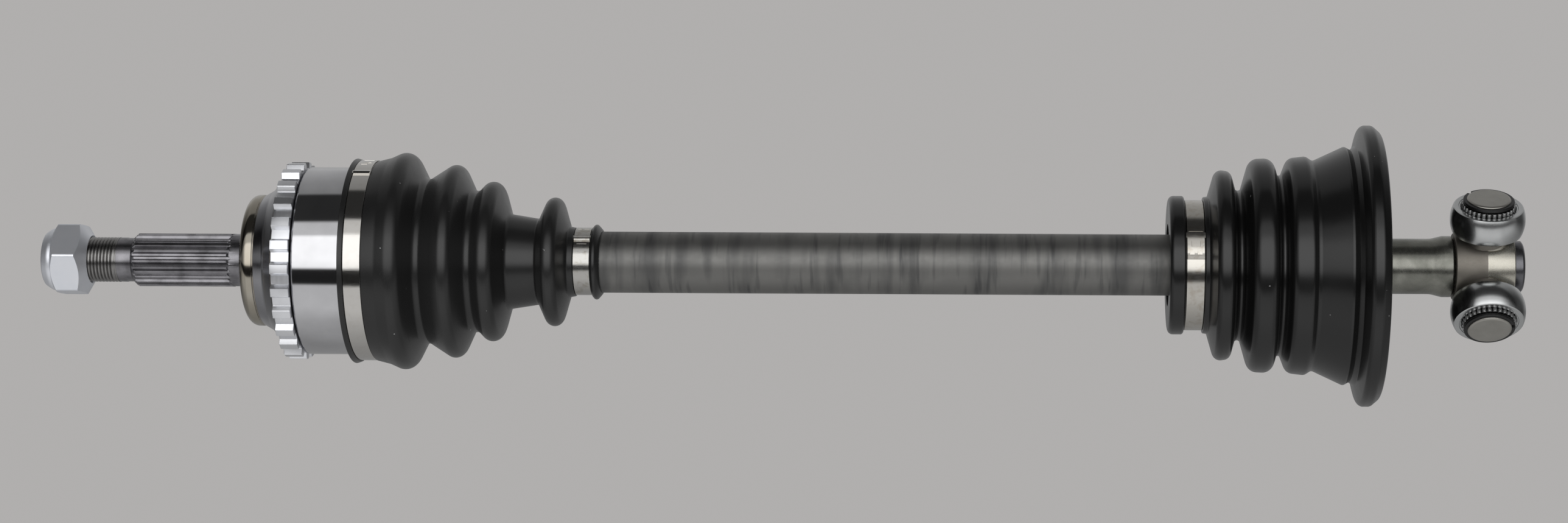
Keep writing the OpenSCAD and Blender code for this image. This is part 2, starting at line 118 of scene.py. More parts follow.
def revolved(name, turns, outline_at, closed=True, sharp=32.0):
    """A surface round the shaft. outline_at(c) is the [(x, r)] outline at the angle turns[c]."""
    verts, faces = [], []
    for c, turn in enumerate(turns):
        outline = outline_at(c)
        verts += [around(x, r, turn) for x, r in outline]
    rows = len(outline)
    for c in range(len(turns)):
        n = (c + 1) % len(turns)
        for k in range(rows if closed else rows - 1):
            m = (k + 1) % rows
            faces.append((c * rows + k, c * rows + m, n * rows + m, n * rows + k))
    return solid(name, verts, faces, sharp)


def turned(name, outline, columns=TURNS, sharp=32.0):
    """A lathe-turned solid from a closed outline of (x, r) points."""
    return revolved(name, full_turn(columns), lambda c: outline, sharp=sharp)


def corner(before, here, after, radius, steps):
    """Points of the arc that rounds the corner at here."""
    u, w = (before - here).normalized(), (after - here).normalized()
    angle = u.angle(w)
    if radius <= 0 or angle > math.radians(178):
        return [tuple(here)]
    centre = here + (u + w).normalized() * radius / math.sin(angle / 2)
    first = here + u * radius / math.tan(angle / 2) - centre
    last = here + w * radius / math.tan(angle / 2) - centre
    start = math.atan2(first.y, first.x)
    turn = (math.atan2(last.y, last.x) - start + math.pi) % (2 * math.pi) - math.pi
    return [
        (centre.x + radius * math.cos(start + turn * k / steps),
         centre.y + radius * math.sin(start + turn * k / steps))
        for k in range(steps + 1)
    ]


def rounded(path, steps=9):
    """An open path of (x, r, rounding) corners as (x, r) points."""
    points = [tuple(path[0][:2])]
    for before, here, after in zip(path, path[1:], path[2:]):
        points += corner(Vector(before[:2]), Vector(here[:2]), Vector(after[:2]), here[2], steps)
    return points + [tuple(path[-1][:2])]


def inset(path, wall):
    """The same path moved a wall's thickness towards the shaft."""
    moved = []
    for k, (x, r, rounding) in enumerate(path):
        here = Vector((x, r))
        before = Vector(path[max(k - 1, 0)][:2])
        after = Vector(path[min(k + 1, len(path) - 1)][:2])
        ahead = (after - here) if k == 0 else (here - before)
        behind = ahead if k == len(path) - 1 else (after - here)
        n1, n2 = (Vector((d.y, -d.x)).normalized() for d in (ahead, behind))
        place = here + wall * (n1 + n2) / (1 + n1.dot(n2))
        bend = n1.x * n2.y - n1.y * n2.x
        moved.append((place.x, place.y, max(rounding - wall, 0.3) if bend < 0 else rounding + wall))
    return moved


def shifted(path, dx):
    """The same path moved along the shaft."""
    return [(p[0] + dx, *p[1:]) for p in path]


def join(first, *others):
    """Joins meshes into the first one."""
    for other in others:
        shape = bmesh.new()
        shape.from_mesh(first.data)
        shape.from_mesh(other.data)
        shape.to_mesh(first.data)
        shape.free()
        bpy.data.objects.remove(other)
    return first


def smoothstep(t):
    """A smooth rise from 0 to 1."""
    t = max(0.0, min(1.0, t))
    return t * t * (3 - 2 * t)


# ---- material helpers ----


def add_node(tree, kind, inputs=None, **settings):
    """Adds a node; an input is a constant or another node's output."""
    made = tree.nodes.new(kind)
    for key, value in settings.items():
        setattr(made, key, value)
    for key, value in (inputs or {}).items():
        if isinstance(value, bpy.types.NodeSocket):
            tree.links.new(value, made.inputs[key])
        else:
            made.inputs[key].default_value = value
    return made


def add_ramp(tree, value, stops):
    """A colour ramp with stops of (position, colour or grey level)."""
    made = add_node(tree, "ShaderNodeValToRGB", {0: value})
    elements = made.color_ramp.elements
    while len(elements) < len(stops):
        elements.new(0.5)
    for element, (position, level) in zip(elements, stops):
        element.position = position
        element.color = (*level, 1) if isinstance(level, tuple) else (level, level, level, 1)
    return made.outputs["Color"]


class Recipe:
    """One material's node tree, with short calls for the nodes it is made of."""

    def __init__(self, name, colour, metallic, roughness, **sockets):
        self.material = bpy.data.materials.new(name)
        self.material.use_nodes = True
        self.tree = self.material.node_tree
        self.shader = self.tree.nodes["Principled BSDF"]
        self.set("Base Color", (*colour, 1))
        self.set("Metallic", metallic)
        self.set("Roughness", roughness)
        for socket, value in sockets.items():
            self.set(socket.replace("_", " "), value)
        self.place = self.node("ShaderNodeTexCoord").outputs["Object"]
        apart = self.node("ShaderNodeSeparateXYZ", {0: self.place})
        self.x = apart.outputs["X"]
        across = self.node("ShaderNodeCombineXYZ", {1: apart.outputs["Y"], 2: apart.outputs["Z"]})
        length = self.node("ShaderNodeVectorMath", {0: across.outputs[0]}, operation="LENGTH")
        self.r = length.outputs["Value"]

    def set(self, socket, value):
        """Links a socket of the shader, or sets its constant."""
        target = self.shader.inputs[socket]
        if isinstance(value, bpy.types.NodeSocket):
            self.tree.links.new(value, target)
        else:
            target.default_value = value

    def node(self, kind, inputs=None, **settings):
        return add_node(self.tree, kind, inputs, **settings)

    def math(self, operation, a, b=0.0, c=0.0):
        return self.node("ShaderNodeMath", {0: a, 1: b, 2: c}, operation=operation).outputs[0]

    def noise(self, scale, detail=4.0, stretch=(1, 1, 1), at=None, distortion=0.0):
        """Noise of the object's own coordinates; stretch above 1 packs it closer along that axis."""
        mapped = self.node("ShaderNodeMapping", {"Vector": at or self.place, "Scale": stretch}).outputs[0]
        wanted = {"Vector": mapped, "Scale": scale, "Detail": detail, "Distortion": distortion}
        return self.node("ShaderNodeTexNoise", wanted).outputs["Fac"]

    def spun(self):
        """Coordinates that don't change round the shaft, as marks left by a lathe."""
        return self.node("ShaderNodeCombineXYZ", {0: self.x, 1: self.r, 2: 0.0}).outputs[0]

    def ramp(self, value, *stops):
        """Colours or grey levels at stops of (position, colour or level)."""
        return add_ramp(self.tree, value, stops)

    def mix(self, share, a, b):
        """The colour a where share is 0 and b where it is 1."""
        made = self.node("ShaderNodeMix", {0: share}, data_type="RGBA", blend_type="MIX")
        for index, value in ((6, a), (7, b)):
            if isinstance(value, bpy.types.NodeSocket):
                self.tree.links.new(value, made.inputs[index])
            else:
                made.inputs[index].default_value = (*value, 1)
        return made.outputs[2]

    def spread(self, value, low, high):
        """Maps 0..1 to low..high."""
        return self.node("ShaderNodeMapRange", {0: value, 3: low, 4: high}).outputs[0]

    def bump(self, height, strength, distance=0.0001):
        """Sets the shader's normal from a height; a second call adds to the first."""
        wanted = {"Height": height, "Strength": strength, "Distance": distance}
        target = self.shader.inputs["Normal"]
        if target.links:
            wanted["Normal"] = target.links[0].from_socket
        self.tree.links.new(self.node("ShaderNodeBump", wanted).outputs[0], target)


def grey(level, tint=(1, 1, 1)):
    """A grey of this level, or a tint darkened by it."""
    return tuple(level * t for t in tint)


def turned_steel(name, colour, roughness, marks=0.25, stain=None):
    """Lathe-turned metal: fine rings, uneven polish and faint staining."""
    m = Recipe(name, colour, 1.0, roughness)
    rings = m.noise(1500.0, 3.0, at=m.spun())
    patches = m.noise(70.0, 5.0)
    m.bump(rings, marks, 0.00002)
    uneven = m.math("MULTIPLY_ADD", rings, 0.35, m.math("MULTIPLY", patches, 0.65))
    m.set("Roughness", m.spread(uneven, roughness * 0.6, roughness * 1.5))
    worn = m.ramp(patches, (0.3, 0.0), (0.72, 0.5))
    m.set("Base Color", m.mix(worn, colour, stain or grey(0.7, colour)))
    return m


def shaft_steel():
    """Dark drawn steel with faint uneven bands across it and oily blotches."""
    m = Recipe("shaft_steel", grey(0.2), 0.9, 0.34)
    bands = m.noise(95.0, 2.5, stretch=(1.0, 0.1, 0.16))
    thin = m.noise(330.0, 2.0, stretch=(1.0, 0.06, 0.1))
    blotch = m.noise(60.0, 6.0, stretch=(0.5, 1.0, 1.0))
    dark = m.math("ADD", m.ramp(bands, (0.36, 0.75), (0.5, 0.0)), m.ramp(thin, (0.33, 0.5), (0.43, 0.0)))
    base = m.mix(blotch, (0.228, 0.225, 0.215), (0.165, 0.164, 0.158))
    m.set("Base Color", m.mix(dark, base, (0.1, 0.1, 0.1)))
    m.set("Roughness", m.spread(m.noise(420.0, 5.0), 0.4, 0.58))
    m.bump(m.noise(2600.0, 3.0, stretch=(0.25, 1.0, 1.0)), 0.3, 0.00002)
    return m


def oiled_steel():
    """The thin shaft length by the tripod: olive-grey, blotchy and oily."""
    m = Recipe("oiled_steel", grey(0.2), 0.9, 0.25)
    blotch = m.noise(90.0, 6.0, distortion=0.4)
    fine = m.noise(700.0, 4.0)
    oil = m.ramp(blotch, (0.3, (0.14, 0.142, 0.124)), (0.52, (0.2, 0.2, 0.178)), (0.72, (0.28, 0.28, 0.25)))
    end = m.ramp(m.math("MULTIPLY", m.x, 50.0), (0.62, 0.0), (0.64, 1.0))
    m.set("Base Color", m.mix(end, oil, (0.13, 0.13, 0.14)))
    m.set("Roughness", m.spread(fine, 0.18, 0.34))
    m.bump(fine, 0.15, 0.00003)
    return m


def dark_steel(name, colour, roughness, grime=0.6):
    """Hardened, oily steel of the thread and the spline, with dirt in its hollows."""
    m = Recipe(name, colour, 1.0, roughness)
    soot = m.ramp(m.noise(160.0, 6.0), (0.42, 0.0), (0.75, grime))
    streak = m.noise(900.0, 3.0, stretch=(0.06, 1.0, 1.0))
    m.set("Base Color", m.mix(soot, colour, (0.035, 0.034, 0.036)))
    m.set("Roughness", m.spread(streak, roughness * 0.7, roughness * 1.45))
    m.bump(streak, 0.25, 0.00003)
    return m


def zinc_plate():
    """Satin zinc plating, light blue-grey with a fine grain."""
    m = Recipe("zinc_plate", (0.8, 0.82, 0.88), 0.86, 0.3)
    grain = m.noise(2400.0, 4.0)
    cloud = m.noise(120.0, 4.0)
    m.set("Base Color", m.mix(cloud, (0.76, 0.79, 0.85), (0.87, 0.88, 0.92)))
    m.set("Roughness", m.spread(grain, 0.3, 0.48))
    m.bump(grain, 0.35, 0.00003)
    return m


def rubber(name="boot_rubber", base=0.007, roughness=0.22):
    """Black moulded rubber with a satin skin, handling marks and a few dust specks."""
    m = Recipe(name, grey(base), 0.0, roughness, Specular_IOR_Level=0.5)
    grain = m.noise(3200.0, 3.0)
    smear = m.noise(55.0, 5.0, distortion=0.8)
    specks = m.ramp(m.noise(620.0, 0.0), (0.885, 0.0), (0.9, 1.0))
    m.set("Base Color", m.mix(specks, grey(base), (0.3, 0.3, 0.3)))
    m.set("Roughness", m.spread(smear, roughness * 0.78, roughness * 1.3))
    m.bump(grain, 0.22, 0.00004)
    m.bump(m.noise(160.0, 3.0), 0.1, 0.0002)
    return m


def strip_steel(name, colour, stain, amount, roughness):
    """Stainless strip of the clamps, with rolled scratches and brown staining."""
    m = Recipe(name, colour, 1.0, roughness)
    scratch = m.noise(1900.0, 2.0, stretch=(0.15, 1.0, 1.0))
    spots = m.noise(330.0, 7.0, distortion=0.4)
    m.set("Base Color", m.mix(m.ramp(spots, (0.5, 0.0), (0.68, amount)), colour, stain))
    m.set("Roughness", m.spread(scratch, roughness * 0.7, roughness * 1.5))
    m.bump(scratch, 0.15, 0.00002)
    return m


def forged_steel():
    """The spider: matte brown forging on one side of its ridge, ground and paler on the other."""
    m = Recipe("forged_steel", (0.3, 0.28, 0.25), 0.95, 0.4)
    pits = m.noise(1300.0, 5.0)
    cloud = m.noise(150.0, 5.0)
    hub = m.ramp(m.math("MULTIPLY", m.r, 50.0), (0.84, 1.0), (0.86, 0.0))
    past_ridge = m.ramp(m.math("MULTIPLY_ADD", m.x, 50.0, 0.5), (0.475, 0.0), (0.485, 1.0))
    ground = m.math("MULTIPLY", hub, past_ridge)
    brown = m.mix(cloud, (0.165, 0.152, 0.132), (0.235, 0.22, 0.195))
    pale = m.mix(cloud, (0.36, 0.345, 0.3), (0.52, 0.5, 0.44))
    end = m.ramp(m.math("MULTIPLY", m.r, 20.0), (0.62, 0.0), (0.64, 1.0))
    faced = m.mix(end, brown, m.mix(cloud, (0.3, 0.29, 0.265), (0.42, 0.41, 0.38)))
    m.set("Base Color", m.mix(ground, faced, pale))
    rough = m.mix(ground, m.mix(end, grey(0.46), grey(0.34)), grey(0.27))
    m.set("Roughness", m.math("MULTIPLY", rough, m.spread(pits, 0.8, 1.25)))
    m.bump(pits, 0.3, 0.00004)
    return m


def moulded(name, colour, roughness):
    """Plastic or sealing rubber of the small inner parts."""
    m = Recipe(name, colour, 0.0, roughness)
    grain = m.noise(1800.0, 3.0)
    m.set("Base Color", m.mix(m.noise(90.0, 4.0), colour, grey(0.8, colour)))
    m.set("Roughness", m.spread(grain, roughness * 0.85, roughness * 1.2))
    m.bump(grain, 0.2, 0.00004)
    return m


def black_oxide():
    """Black spring steel of the retaining rings."""
    m = Recipe("black_ring", grey(0.03), 0.9, 0.34)
    fine = m.noise(1500.0, 4.0)
    m.set("Base Color", m.mix(fine, grey(0.018), grey(0.06)))
    m.set("Roughness", m.spread(fine, 0.24, 0.5))
    m.bump(fine, 0.3, 0.00003)
    return m


POLISHED = (0.57, 0.57, 0.585)
FINISHES = {
    "shaft_steel": shaft_steel(),
    "oiled_steel": oiled_steel(),
    "housing_steel": turned_steel("housing_steel", POLISHED, 0.07, 0.12),
    "shoulder_steel": turned_steel("shoulder_steel", (0.42, 0.395, 0.345), 0.1, 0.2, (0.25, 0.21, 0.15)),
    "cone_steel": turned_steel("cone_steel", (0.4, 0.4, 0.42), 0.17, 0.25),
    "thread_steel": dark_steel("thread_steel", (0.26, 0.255, 0.25), 0.24, grime=0.3),
    "spline_steel": dark_steel("spline_steel", (0.25, 0.245, 0.26), 0.25),
    "zinc_plate": zinc_plate(),
    "nylon": moulded("nylon", (0.62, 0.6, 0.52), 0.45),
    "ring_steel": turned_steel("ring_steel", (0.82, 0.83, 0.86), 0.3, 0.3),
    "hardened_steel": turned_steel("hardened_steel", (0.5, 0.5, 0.51), 0.22),
    "spring_steel": dark_steel("spring_steel", (0.2, 0.2, 0.21), 0.35),
    "cage_steel": turned_steel("cage_steel", (0.36, 0.36, 0.37), 0.3),
    "ball_steel": turned_steel("ball_steel", (0.72, 0.72, 0.74), 0.08, 0.05),
    "boot_rubber": rubber(),
    "dusty_rubber": rubber("dusty_rubber", 0.014, 0.27),
    "clamp_steel": strip_steel("clamp_steel", (0.57, 0.555, 0.53), (0.4, 0.36, 0.3), 0.12, 0.09),
    "worn_clamp_steel": strip_steel("worn_clamp_steel", (0.46, 0.45, 0.43), (0.28, 0.25, 0.2), 0.5, 0.17),
    "stained_clamp_steel": strip_steel(
        "stained_clamp_steel", (0.52, 0.5, 0.46), (0.36, 0.31, 0.25), 0.45, 0.15),
    "cage_plastic": moulded("cage_plastic", (0.045, 0.042, 0.035), 0.5),
    "seal_rubber": rubber("seal_rubber", 0.02, 0.5),
    "insert_steel": turned_steel("insert_steel", (0.55, 0.55, 0.56), 0.3),
    "forged_steel": forged_steel(),
    "black_ring": black_oxide(),
    "needle_steel": turned_steel("needle_steel", (0.4, 0.4, 0.4), 0.25, 0.1),
    "roller_steel": turned_steel("roller_steel", (0.56, 0.57, 0.57), 0.22, 0.3),
}


def finish(piece, finish_name, body=None, replaces=()):
    """Gives a piece its material, its body and the nodes it stands for."""
    piece.data.materials.clear()
    piece.data.materials.append(FINISHES[finish_name].material)
    if replaces:
        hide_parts(*replaces)
    if body:
        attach(piece, body)


# ---- teeth and threads ----


def tooth_corners(teeth, root_r, tip_r, root_part, tip_part, phase, soften):
    """Angles and radii of a toothed outline; soften is how much of each edge is rounded off."""
    half_root, half_tip = root_part / 2, tip_part / 2
    flank = (half_root - half_tip) * soften
    land = half_tip * soften
    drop = (tip_r - root_r) * soften
    gap = (0.5 - half_root) * soften
    side = [
        (half_tip * 0.4, tip_r),
        (half_tip - land, tip_r),
        (half_tip + flank, tip_r - drop),
        (half_root - flank, root_r + drop),
        (half_root + gap, root_r),
        (0.5 - (0.5 - half_root) * 0.5, root_r),
    ]
    profile = [(-share, r) for share, r in reversed(side)] + side
    return [
        (phase + 2 * math.pi * (tooth + share) / teeth, r)
        for tooth in range(teeth)
        for share, r in profile
    ]


def speed_ring():
    """The ring of square teeth that the wheel-speed sensor reads."""
    low, high = box_mm("wheel_speed_ring")
    teeth, bore, root_r, tip_r, edge = 26, 39.95, 41.6, high.z, 0.35
    corners = tooth_corners(teeth, root_r, tip_r, 0.56, 0.38, math.radians(-88), 0.1)

    def outline(c):
        r = corners[c][1]
        return [
            (low.x, bore), (low.x, r - edge), (low.x + 0.1, r - 0.1), (low.x + edge, r),
            (high.x - edge, r), (high.x - 0.1, r - 0.1), (high.x, r - edge), (high.x, bore),
        ]

    piece = revolved("speed_ring_teeth", [turn for turn, r in corners], outline)
    finish(piece, "ring_steel", "wheel_stub", replaces=["wheel_speed_ring"])


def helical_thread():
    """The stub's end with its helical thread, its flat tip and a centre drilling."""
    tip, start, end, crest, pitch = -122.0, -121.0, -95.5, 10.0, 1.5
    depth, run_out, chamfer = 0.36 * pitch, 2.2, 1.1
    steps, columns = 10, 96
    rows = (int((end - start) / pitch) + 2) * steps

    def point(k, c):
        """Row k follows the helix, so that crests and roots lie along the mesh's own lines."""
        x = max(tip, min(end, start + pitch * (k / steps - 1 + c / columns)))
        groove = max(0.0, 1 - abs((k / steps) % 1.0 - 0.5) / 0.3)
        r = crest - depth * groove * smoothstep((end - x) / run_out)
        return around(OUTER_X + x, min(r, crest - chamfer + x - tip), 2 * math.pi * c / columns)

    verts = [point(k, c) for c in range(columns + 1) for k in range(rows + 1)]
    faces = [
        (a, a + 1, a + rows + 2, a + rows + 1)
        for c in range(columns)
        for a in range(c * (rows + 1), c * (rows + 1) + rows)
    ]
    skin = solid("stub_thread", verts, faces, 50.0)
    drilling = [(tip, crest - chamfer), (tip, 3.1), (tip + 1.2, 2.6), (tip + 6.5, 2.6), (tip + 8, 0)]
    face = revolved("tip_face", full_turn(columns), lambda c: shifted(drilling, OUTER_X), closed=False)
    finish(join(skin, face), "thread_steel", "wheel_stub")


def stub_spline():
    """The hub spline: a chamfered start, and grooves that run out to a point at the end."""
    teeth, tip_r, root_r = 23, 11.9, 10.8
    left, right, run_out = -89.0, -44.3, 2.4
    relief_left, relief_r, neck_r, shoulder = -95.6, 9.8, 11.75, -36.4
    corners = tooth_corners(teeth, root_r, tip_r, 0.62, 0.36, math.radians(-90), 0.2)
    chamfer = [left + 0.01 + 0.35 * k for k in range(8)]
    middle = [left + 3 + (right - left - 6) * k / 10 for k in range(1, 11)]
    ending = [right - 2.9 + 3.1 * k / 14 for k in range(1, 15)]
    neck_end = shoulder + 0.4
    neck = rounded([(right + 0.4, neck_r, 0), (shoulder - 3, neck_r, 2.5), (neck_end, neck_r + 3, 0)])

    def outline(c):
        tooth_r = corners[c][1]
        points = [
            (relief_left, 0), (relief_left, 9.9), (relief_left + 3.3, 9.95), (relief_left + 3.9, relief_r),
            (left - 0.05, relief_r),
        ]
        for x in chamfer + middle + ending:
            start_r = relief_r + 0.2 + 0.95 * (x - left)
            rise = smoothstep((x - right + run_out) / run_out)
            floor_r = neck_r - (tip_r - root_r + 0.25) * (1 - rise)
            points.append((x, min(max(tooth_r, floor_r), start_r)))
        points += neck + [(neck_end, 0)]
        return shifted(points, OUTER_X)

    piece = revolved("stub_spline", [turn for turn, r in corners], outline, sharp=40.0)
    finish(piece, "spline_steel", "wheel_stub")


def joint_shoulder():
    """The polished shoulder disc, its groove and the cone behind it."""
    face, disc_end, disc_r = -36.5, -30.0, 29.45
    disc = rounded([
        (face, 11, 0), (face, 13.5, 0.4), (face, disc_r, 4.3), (disc_end - 0.5, disc_r, 0.6),
        (disc_end, 28.9, 0.2), (disc_end + 0.5, 29.2, 0.4), (disc_end + 0.5, 11, 0),
    ])
    cone = rounded([
        (-29.9, 20, 0), (-29.9, 29.1, 0.6), (-25, 31.9, 5), (-20.2, 37.6, 2), (-19.4, 39.8, 0.4),
        (-18.5, 39.9, 0), (-18.5, 39.2, 0), (-19.5, 39, 0), (-29.8, 20, 0), (-29.9, 20, 0),
    ])[:-1]
    for name, outline, steel in (("disc", disc, "shoulder_steel"), ("cone", cone, "cone_steel")):
        piece = turned("joint_shoulder_" + name, shifted(outline, OUTER_X))
        finish(piece, steel, "wheel_stub")


def joint_bell():
    """The bell with its spherical inside and the six ball tracks."""
    radius, mouth, sphere_r, floor_x = 42.0, 21.0, 33.15, -27.4
    tracks, track_r, pitch_r, deepest = 6, 9.7, 28.5, 39.0
    track_ends = 0.72  # cosine of the angle at which the tracks stop
    turns = full_turn()
    outside = rounded([
        (floor_x - 2.4, 0, 0), (floor_x - 2.4, 20, 0), (-19.5, 39.0, 0), (-10.9, 39.2, 0.1),
        (-10.2, 41.3, 0.2), (-9.5, radius, 0.3), (mouth - 0.6, radius, 0.3), (mouth, radius - 0.6, 0.2),
        (mouth, 35.6, 0.4),
    ], 5)

    def depth(angle, turn):
        """Distance from the joint's centre to the inside, looking angle away from the shaft."""
        along, out = math.cos(angle), math.sin(angle)
        offs = ((turn - 2 * math.pi * k / tracks + math.pi) % (2 * math.pi) - math.pi for k in range(tracks))
        nearest = min(abs(off) for off in offs)
        # A ray meets a track where its distance from the ball circle is the track's radius
        reach = pitch_r * math.sin(out * nearest)
        inside = sphere_r
        if abs(along) < track_ends and abs(reach) < track_r:
            inside = max(inside, pitch_r * math.cos(out * nearest) + math.sqrt(track_r**2 - reach**2))
        if along * inside < floor_x:
            inside = floor_x / along
        return min(inside, deepest)

    angles = [math.radians(a) for a in range(64, 181, 4)]

    def outline(c):
        depths = [(a, depth(a, turns[c])) for a in angles]
        return shifted(outside + [(math.cos(a) * d, math.sin(a) * d) for a, d in depths], OUTER_X)

    piece = revolved("joint_bell", turns, outline, closed=False)
    finish(piece, "housing_steel", "wheel_stub", replaces=["outer_joint_housing"])


# ---- hub nut ----


def hub_nut():
    """Hexagon nut with chamfered corners, a domed locking collar and a plain bore."""
    left, right, collar, flats, turn_by = -128.5, -108.2, 4.8, 30.0, math.radians(35.7)
    hex_left, corner_r, corner_loss = left + collar, flats / math.sqrt(3), 0.225
    face_r, back_r = 10.8, flats / 2 - 0.5
    right_slope, left_slope = 0.64, 0.72

    def hex_r(turn):
        """Radius of the hexagon with its corners slightly rounded."""
        off = (turn - turn_by + math.pi / 6) % (math.pi / 3) - math.pi / 6
        return min(flats / 2 / math.cos(off), corner_r - corner_loss)

    per_side = [0.0, 0.12, 0.25, 0.4, 0.55, 0.7, 0.82, 0.9, 0.95, 0.975, 0.99, 1.0]
    offs = sorted({s * math.pi / 6 * sign for s in per_side for sign in (1, -1)})
    turns = [turn_by + side * math.pi / 3 + off for side in range(6) for off in offs[:-1]]

    def outline(c):
        r = hex_r(turns[c])
        x_right = right - (r - face_r) * right_slope
        x_left = hex_left + (r - back_r) * left_slope
        dome = rounded([
            (hex_left + 0.3, 14.1, 0), (hex_left - 1.6, 13.9, 3), (left, 11.8, 1.4), (left, 10.6, 0),
        ], 6)
        bore = [(left + 0.7, 10.1), (left + collar, 10.1), (right - 1.3, 9.6), (right - 0.2, 10.6)]
        hexagon = [(right, face_r), (x_right, r), (x_right - 0.2, r), (x_left + 0.2, r), (x_left, r)]
        hexagon += [(hex_left + 0.05, back_r)]
        return shifted(hexagon + dome + bore, OUTER_X)

    piece = revolved("hub_nut_body", turns, outline, sharp=24.0)
    finish(piece, "zinc_plate", "hub_nut", replaces=["hub_nut"])


# ---- clamps ----


def strap(name, x, width, r, thickness, start, end, lift=lambda angle: 0.0, rows=None, edge=0.12):
    """A bent strip from angle start to end in degrees; lift(angle) raises its outer face."""
    closed = end - start >= 359.9
    rows = rows or max(4, int((end - start) / 1.5))
    shares = [0.0, 0.02, 0.06, 0.15, 0.3, 0.45, 0.5, 0.55, 0.7, 0.85, 0.94, 0.98, 1.0]

    def section(angle):
        top = [
            (x + width * s, r + thickness - (edge if s in (0.0, 1.0) else 0.0) + lift(angle))
            for s in shares
        ]
        return [(x, r)] + top + [(x + width, r)]

    angles = [start + (end - start) * k / rows for k in range(rows if closed else rows + 1)]
    sections = [section(a) for a in angles]
    size = len(sections[0])
    verts = [around(px, pr, math.radians(a)) for a, ring in zip(angles, sections) for px, pr in ring]
    faces = []
    for c in range(rows):
        n = (c + 1) % len(angles)
        faces += [
            (c * size + k, c * size + (k + 1) % size, n * size + (k + 1) % size, n * size + k)
            for k in range(size)
        ]
    if not closed:
        faces += [tuple(range(size)), tuple(reversed(range(rows * size, (rows + 1) * size)))]
    return solid(name, verts, faces, 28.0)


def bump_at(angle, centre, half):
    """1 at the centre angle, falling smoothly to 0 half a width away."""
    return smoothstep(1 - abs(angle - centre) / half)


def clamp(node, finish_name, body, x, width, r, lap, hook_at, tabs):
    """A clamp: its band, the strap lapped over it with a rolled end, two side hooks and raised tabs."""
    band, sheet, hook = 0.62, 0.6, 0.55
    low, high = lap
    per_mm = math.degrees(1 / r)

    def rolled_end(angle):
        return 0.5 * bump_at(angle, low + per_mm, 1.2 * per_mm)

    pieces = [strap(node + "_band", x, width, r, band, 0, 360, rows=240)]
    pieces.append(strap("lap", x + 0.05, width - 0.1, r + band, sheet, low, high, rolled_end))
    for side in (x - 0.3, x + width - 0.25):
        pieces.append(strap("hook", side, hook, r - 0.2, 1.6, hook_at, hook_at + 2.4 * per_mm, edge=0.2))
    for angle, length, start, end, rise in tabs:
        face = r + band + (sheet if low < angle < high else 0.0) - 0.05
        tab_end = angle + length * per_mm
        pieces.append(strap("tab", x + width * start, width * (end - start), face, rise, angle, tab_end))
    finish(join(*pieces), finish_name, body, [node])


def clamps():
    """The three band clamps, each sitting in its boot's groove."""
    # A tab is its angle, its length, where it starts and ends across the band, and its rise
    squiggle = [(72, 1.2, 0.25, 0.6, 0.25), (75, 1.2, 0.4, 0.8, 0.25), (84, 1.5, 0.2, 0.8, 0.2)]
    slits = [
        (72, 0.5, 0.15, 0.4, 0.2), (72, 0.5, 0.55, 0.85, 0.2), (33, 0.5, 0.2, 0.8, 0.25),
        (17, 0.6, 0.3, 0.75, 0.3),
    ]
    crimps = [
        (9, 1.6, 0.15, 0.42, 0.3), (9, 1.6, 0.58, 0.85, 0.3), (16, 2.5, 0.25, 0.75, 0.25),
        (30, 0.6, 0.1, 0.9, 0.15),
    ]
    clamp("outer_boot_large_clamp", "clamp_steel", "wheel_stub",
          x=OUTER_X + 13.1, width=7.6, r=44.05, lap=(59, 90), hook_at=59.2, tabs=squiggle)
    clamp("outer_boot_small_clamp", "worn_clamp_steel", "shaft",
          x=OUTER_X + 109.4, width=7.4, r=14.25, lap=(39, 100), hook_at=39.5, tabs=slits)
    clamp("inner_boot_clamp", "stained_clamp_steel", "boot_neck",
          x=-135.1, width=8.0, r=28.65, lap=(5, 46), hook_at=24.0, tabs=crimps)


# ---- boots ----


def clip(path, low, high):
    """The part of an (x, r) path between two stations, with x rising."""
    kept = []
    for (xa, ra), (xb, rb) in zip(path, path[1:]):
        if xb < low or xa > high:
            continue
        for x in (max(xa, low), min(xb, high)):
            share = 0.0 if xb - xa < 1e-9 else (x - xa) / (xb - xa)
            kept.append((x, ra + (rb - ra) * share))
    return [p for k, p in enumerate(kept) if k == 0 or (Vector(p) - Vector(kept[k - 1])).length > 1e-6]


def eased(path, borders, reach=0.6):
    """Adds close points by each border, so that normals agree where two boot lengths meet."""
    stations = sorted({b + d for b in borders for d in (-reach, -0.1, 0.0, 0.1, reach)})
    made = []
    for (xa, ra), (xb, rb) in zip(path, path[1:]):
        made.append((xa, ra))
        made += [(s, ra + (rb - ra) * (s - xa) / (xb - xa)) for s in stations if xa + 1e-4 < s < xb - 1e-4]
    return made + [path[-1]]


